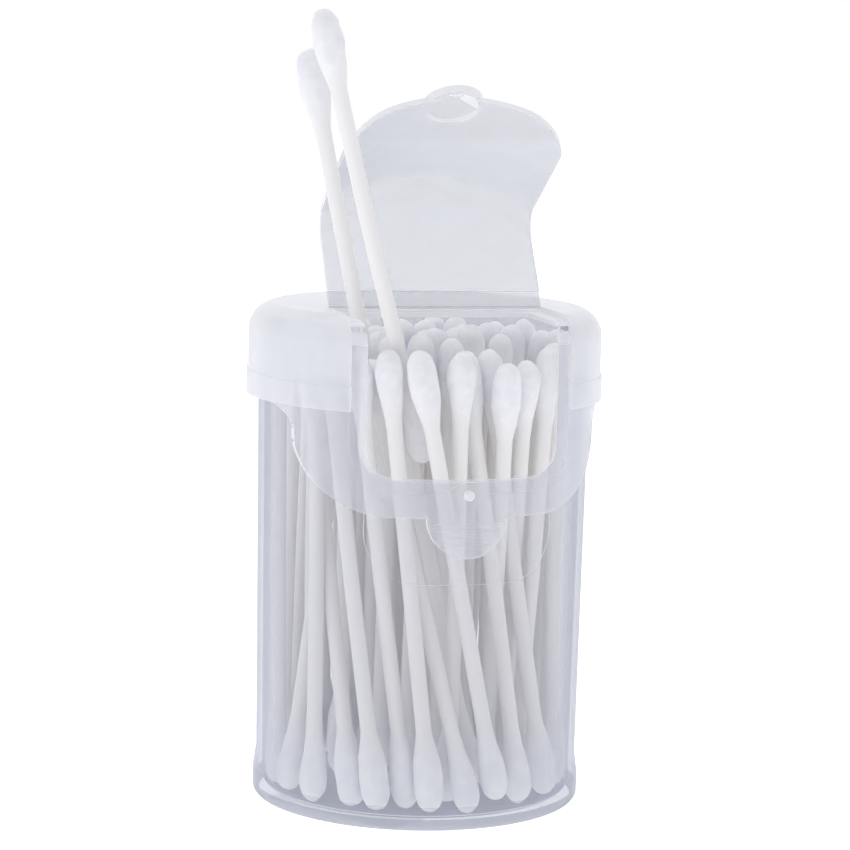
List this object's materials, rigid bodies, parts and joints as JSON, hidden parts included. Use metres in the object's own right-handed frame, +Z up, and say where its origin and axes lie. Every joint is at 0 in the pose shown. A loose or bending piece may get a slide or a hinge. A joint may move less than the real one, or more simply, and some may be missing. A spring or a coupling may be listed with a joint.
{
  "type": "box of cotton swabs",
  "caption": "Round translucent flip-top box full of cotton swabs, with a push-fit cap, a front mouth and a hinged lid, two swabs drawn half out.",
  "frame": {"origin": "centre of the cup's base, on the surface it stands on", "axes": "+Z up along the cup's axis; the mouth and push tab face -Y; the lid hinge runs along X"},
  "size_m": [0.0588, 0.0586, 0.1299],
  "materials": {
    "cup_plastic": "milky translucent polypropylene",
    "cap_plastic": "milky translucent polypropylene",
    "cotton": "white cotton on a white paper stick"
  },
  "bodies": {
    "box": {"cup": "cup_plastic", "cap": "cap_plastic", "drawn_swab_left": "cotton", "drawn_swab_right": "cotton", "front_swabs": "cotton", "outer_swabs": "cotton", "second_ring_swabs": "cotton", "third_ring_swabs": "cotton", "inner_ring_swabs": "cotton", "centre_swabs": "cotton"},
    "lid": {"flip_lid": "cap_plastic"}
  },
  "joints": [
    {"name": "lid_hinge", "type": "hinge", "parent": "box", "child": "lid", "pos_m": [0, -0.0058, 0.0822], "axis": [-1, 0, 0], "range_deg": [-4, 45]}
  ]
}
